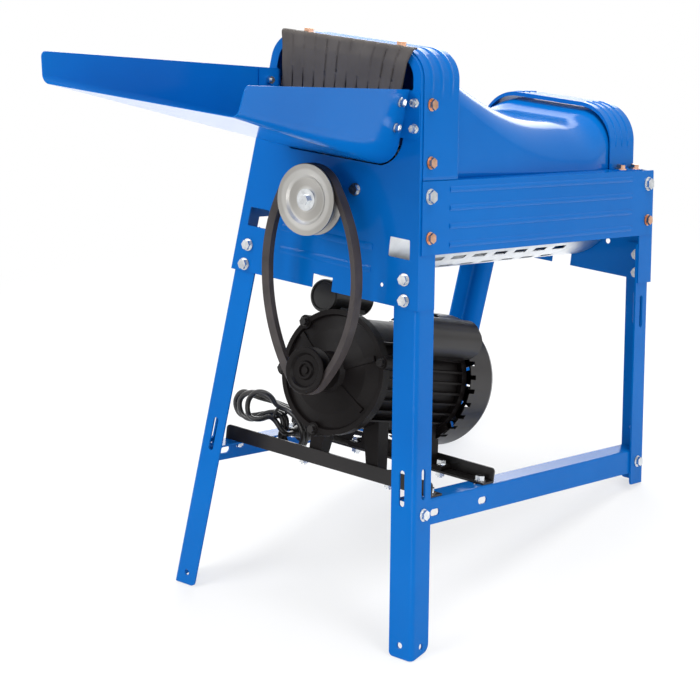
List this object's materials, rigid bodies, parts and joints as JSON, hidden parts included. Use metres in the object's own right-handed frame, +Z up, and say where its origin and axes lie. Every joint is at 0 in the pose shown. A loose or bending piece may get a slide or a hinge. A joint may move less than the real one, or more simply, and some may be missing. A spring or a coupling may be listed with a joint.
{
  "type": "corn sheller",
  "caption": "Motor-driven corn sheller: flared feed tray and rubber curtain, toothed drum under a sloping hood, belt drive, and a leaning frame on angle legs.",
  "frame": {"origin": "middle of the footprint on the floor, under the centre of the machine's box", "axes": "+Z up from the floor, +Y from the feed tray towards the cob outlet, +X to the right as seen from the feed end"},
  "size_m": [0.4508, 1.016, 0.884],
  "materials": {
    "blue_paint": "gloss enamel on sheet steel",
    "black_paint": "satin enamel",
    "motor_casting": "satin black paint on cast aluminium",
    "galvanised_sheet": "galvanised",
    "machined_steel": "turned",
    "zinc_plate": "bright zinc",
    "copper_plate": "copper-coloured plating",
    "cast_iron": "as cast, painted",
    "curtain_rubber": "matt",
    "belt_rubber": "matt",
    "black_plastic": "moulded",
    "lead_sheath": "satin sheath"
  },
  "bodies": {
    "frame": {"front_plate": "blue_paint", "rear_plate": "blue_paint", "side_rail_right": "blue_paint", "side_rail_left": "blue_paint", "front_hood": "blue_paint", "rear_hood": "blue_paint", "drum_cover": "blue_paint", "feed_tray": "blue_paint", "tray_bracket_right": "blue_paint", "tray_bracket_left": "blue_paint", "front_leg_right": "blue_paint", "front_leg_left": "blue_paint", "rear_leg_right": "blue_paint", "rear_leg_left": "blue_paint", "base_rail_right": "blue_paint", "base_rail_left": "blue_paint", "motor_bar_front": "black_paint", "motor_bar_rear": "black_paint", "fan_cover": "black_paint", "capacitor_box": "black_paint", "shield_bolts": "black_paint", "motor_frame": "motor_casting", "motor_shield_front": "motor_casting", "motor_shield_rear": "motor_casting", "trough": "galvanised_sheet", "bearing_outer_rings": "machined_steel", "motor_bearings": "machined_steel", "leg_bolts": "zinc_plate", "base_bolts": "zinc_plate", "rail_bolts": "zinc_plate", "bracket_bolts": "zinc_plate", "bar_bolts": "zinc_plate", "bearing_bolts": "zinc_plate", "curtain_studs": "zinc_plate", "trough_screws": "zinc_plate", "copper_bolts": "copper_plate", "bearing_housing_front": "cast_iron", "bearing_housing_rear": "cast_iron", "curtain_fold": "curtain_rubber", "drive_belt": "belt_rubber", "start_capacitor": "black_plastic", "cord_gland": "black_plastic", "lead_tie": "black_plastic", "mains_plug": "black_plastic", "mains_lead": "lead_sheath", "lead_hank": "lead_sheath"},
    "drum": {"drum_shaft": "machined_steel", "drum": "cast_iron", "drum_pulley": "machined_steel", "pulley_bolt": "zinc_plate", "bearing_inner_rings": "machined_steel"},
    "motor_rotor": {"motor_rotor": "machined_steel", "motor_pulley": "cast_iron", "motor_fan": "black_plastic"},
    "curtain": {"feed_curtain": "curtain_rubber"}
  },
  "joints": [
    {"name": "drum_spin", "type": "hinge", "parent": "frame", "child": "drum", "pos_m": [0, -0.13954, 0.60496], "axis": [0, 0.9659, -0.2588], "continuous": true},
    {"name": "motor_spin", "type": "hinge", "parent": "frame", "child": "motor_rotor", "pos_m": [0.028, -0.24631, 0.38614], "axis": [0, 0.9205, -0.3907], "continuous": true},
    {"name": "curtain_swing", "type": "hinge", "parent": "frame", "child": "curtain", "pos_m": [0, -0.08685, 0.80276], "axis": [1, 0, 0], "range_deg": [0, 70]}
  ],
  "couplings": [
    {"joint": "motor_spin", "follows": "drum_spin", "ratio": 1.5667}
  ]
}
